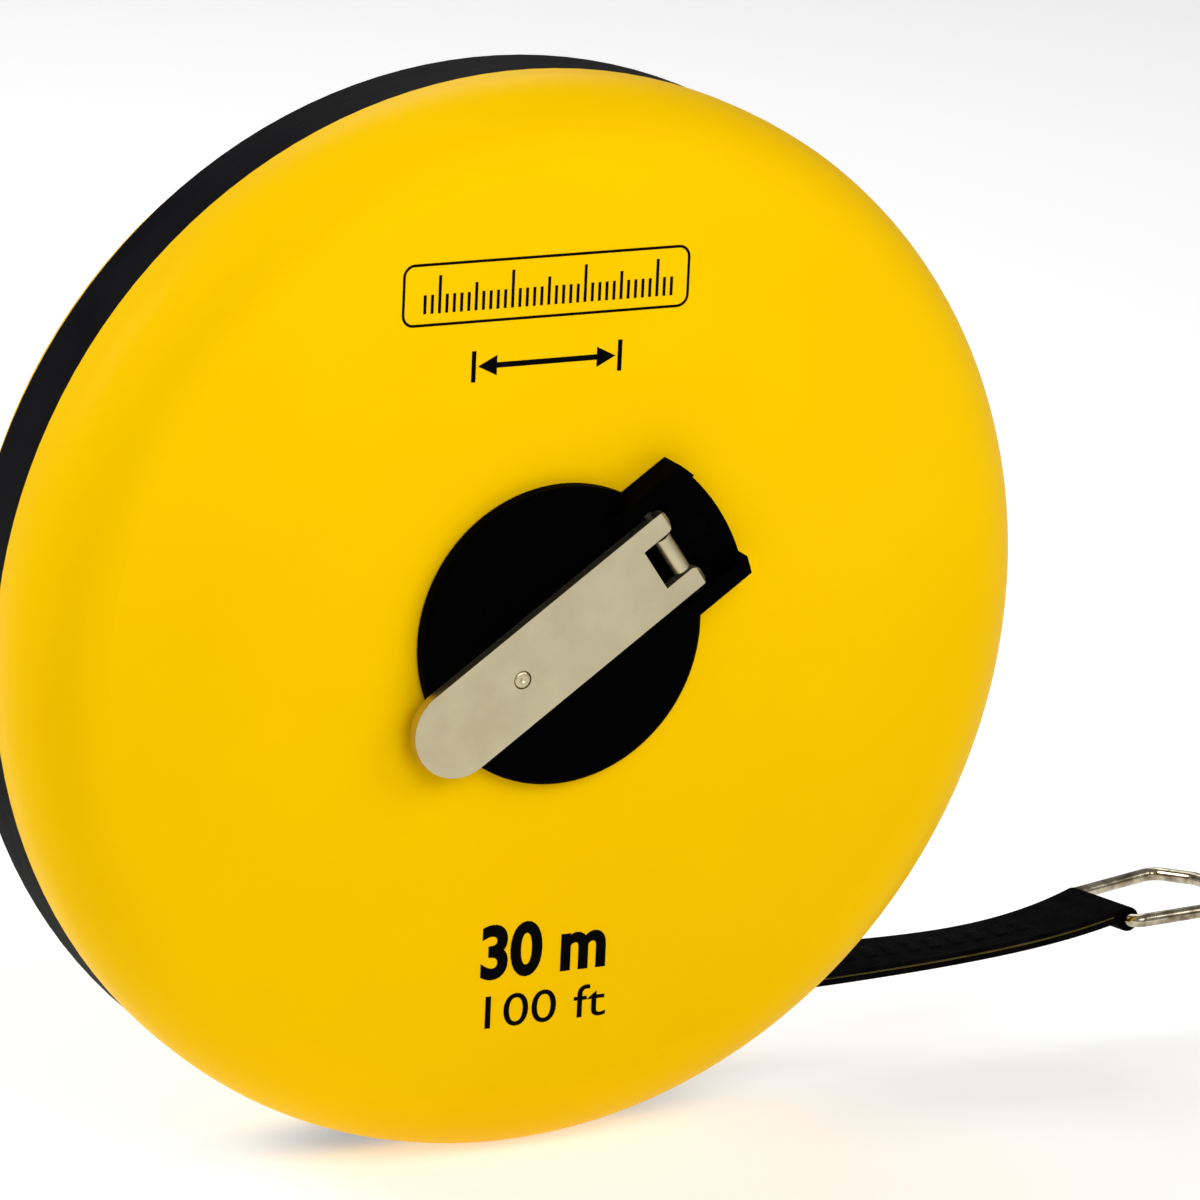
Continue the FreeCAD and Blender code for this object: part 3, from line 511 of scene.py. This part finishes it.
def add_rib(work, find, x0):
    """One rib as a low closed bar with sloping sides."""
    grids = []
    for inset, lift in ((0.0, -0.1 * MM), (0.0, 0.02 * MM), (0.22 * MM, RIB_HEIGHT)):
        rows = []
        for i in range(2):
            row = []
            for k in range(RIB_STEPS + 1):
                y = (2 * k / RIB_STEPS - 1) * (RIB_HALF_ACROSS - inset)
                x = x0 + (i - 0.5) * (RIB_LENGTH - 2 * inset) + y * RIB_SLANT
                place, normal = find(x, y)
                row.append(work.verts.new(place + normal * lift))
            rows.append(row)
        grids.append(rows[0] + rows[1][::-1])
    for low, high in zip(grids, grids[1:]):
        count = len(low)
        for k in range(count):
            j = (k + 1) % count
            work.faces.new((low[k], low[j], high[j], high[k]))
    for loop in (grids[0], grids[-1]):
        count = len(loop)
        for k in range(RIB_STEPS):
            work.faces.new((loop[k], loop[k + 1], loop[count - 2 - k], loop[count - 1 - k]))


def add_strap():
    soften("tape_strap", "tape_end", 0.16 * MM, "tape_strap_folded")
    find = surface_finder("tape_strap")
    low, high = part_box("tape_strap")
    work = bmesh.new()
    first = low.x + 5.5 * MM
    count = int((high.x - 9 * MM - first) / RIB_PITCH)
    for i in range(count):
        add_rib(work, find, first + i * RIB_PITCH)
    add_piece("strap_grip_ribs", mesh_from(work, "strap_grip_ribs"), "tape_end", "strap_black")


def add_tape_run():
    """Tape between the mouth and the strap. The real tape lengthens as the strap is pulled away; here it is one
    fixed strip.
    """
    low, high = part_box("tape_run")
    steps = 120
    work = bmesh.new()
    rings = []
    for i in range(steps + 1):
        x = low.x + (high.x - low.x) * i / steps
        corners = ((low.y, low.z), (high.y, low.z), (high.y, high.z), (low.y, high.z))
        rings.append([work.verts.new((x, y, z)) for y, z in corners])
    for ring, following in zip(rings, rings[1:]):
        for k in range(4):
            work.faces.new((ring[k], ring[(k + 1) % 4], following[(k + 1) % 4], following[k]))
    work.faces.new(rings[0])
    work.faces.new(rings[-1])
    mesh = mesh_from(work, "tape_run_printed")
    piece = add_piece("tape_run_printed", mesh, None, "tape_yellow", ("tape_run",))
    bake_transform(piece)


# Printed marks on the front face: places are (x, z) on the face.
INK = 0.03 * MM


def print_flat(name, work):
    """Thin layer of ink on the front face from a flat bmesh drawn in x and z."""
    face_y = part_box("front_shell")[0].y
    base = list(work.faces)
    for vert in work.verts:
        vert.co.y = face_y + 0.01 * MM
    grown = bmesh.ops.extrude_face_region(work, geom=base)
    for item in grown["geom"]:
        if isinstance(item, bmesh.types.BMVert):
            item.co.y = face_y - INK
    add_piece(name, mesh_from(work, name), "case", "hub_black", material="print_black")


def add_bar(work, x0, x1, z0, z1):
    corners = [work.verts.new((x, 0.0, z)) for x, z in ((x0, z0), (x1, z0), (x1, z1), (x0, z1))]
    work.faces.new(corners)


def add_frame_outline(work, x0, x1, z0, z1, radius, line):
    """Closed band of that width along a rectangle with round corners."""
    inner = []
    outer = []
    centres = ((x1 - radius, z1 - radius, 0), (x0 + radius, z1 - radius, 90),
               (x0 + radius, z0 + radius, 180), (x1 - radius, z0 + radius, 270))
    for x, z, first in centres:
        for k in range(9):
            angle = math.radians(first + k * 90 / 8)
            for loop, r in ((inner, radius - line), (outer, radius)):
                loop.append(work.verts.new((x + r * math.cos(angle), 0.0, z + r * math.sin(angle))))
    for k in range(len(inner)):
        j = (k + 1) % len(inner)
        work.faces.new((inner[k], inner[j], outer[j], outer[k]))


def add_scale_panel():
    """Plain panel with a short ruler in it. The dimension arrow below it is drawn separately."""
    work = bmesh.new()
    add_frame_outline(work, -22.3 * MM, 17.3 * MM, 41.4 * MM, 49.4 * MM, 1.6 * MM, 0.35 * MM)
    first = -19.4 * MM
    for i in range(35):
        x = first + i * 1.0 * MM
        tall = 4.8 * MM if i % 10 == 2 else 3.6 * MM if i % 5 == 2 else 2.4 * MM
        add_bar(work, x, x + 0.4 * MM, 43.0 * MM, 43.0 * MM + tall)
    print_flat("scale_panel", work)


def add_dimension_arrow():
    work = bmesh.new()
    middle = 35.8 * MM
    left = -11.6 * MM
    right = 7.4 * MM
    head = 2.6 * MM
    add_bar(work, left + head, right - head, middle - 0.35 * MM, middle + 0.35 * MM)
    for tip, base in ((left, left + head), (right, right - head)):
        spots = ((tip, middle), (base, middle - 1.3 * MM), (base, middle + 1.3 * MM))
        work.faces.new([work.verts.new((x, 0.0, z)) for x, z in spots])
    for x in (left - 0.9 * MM, right + 0.3 * MM):
        add_bar(work, x, x + 0.6 * MM, middle - 2.0 * MM, middle + 2.0 * MM)
    print_flat("dimension_arrow", work)


def add_text(name, words, x0, x1, z0, z1, weight):
    """Generic capacity marking in the built-in typeface, fitted to a box on the face."""
    curve = bpy.data.curves.new(name, "FONT")
    curve.body = words
    curve.resolution_u = 6
    curve.offset = weight
    text = bpy.data.objects.new(name, curve)
    bpy.context.scene.collection.objects.link(text)
    bpy.context.view_layer.update()
    flat = bpy.data.meshes.new_from_object(text)
    bpy.data.objects.remove(text)
    bpy.data.curves.remove(curve)
    work = bmesh.new()
    work.from_mesh(flat)
    bpy.data.meshes.remove(flat)
    bmesh.ops.remove_doubles(work, verts=work.verts, dist=1e-5)
    low_x = min(v.co.x for v in work.verts)
    high_x = max(v.co.x for v in work.verts)
    low_y = min(v.co.y for v in work.verts)
    high_y = max(v.co.y for v in work.verts)
    for vert in work.verts:
        x = x0 + (x1 - x0) * (vert.co.x - low_x) / (high_x - low_x)
        z = z0 + (z1 - z0) * (vert.co.y - low_y) / (high_y - low_y)
        vert.co = Vector((x, 0.0, z))
    print_flat(name, work)


add_softened_pieces()
add_axle_rivet()
add_hook_ring()
add_strap()
add_tape_run()
add_scale_panel()
add_dimension_arrow()
add_text("capacity_metres", "30 m", -7.9 * MM, 9.8 * MM, -44.9 * MM, -37.5 * MM, 0.035)
add_text("capacity_feet", "100 ft", -7.0 * MM, 10.1 * MM, -51.4 * MM, -47.0 * MM, 0.0)
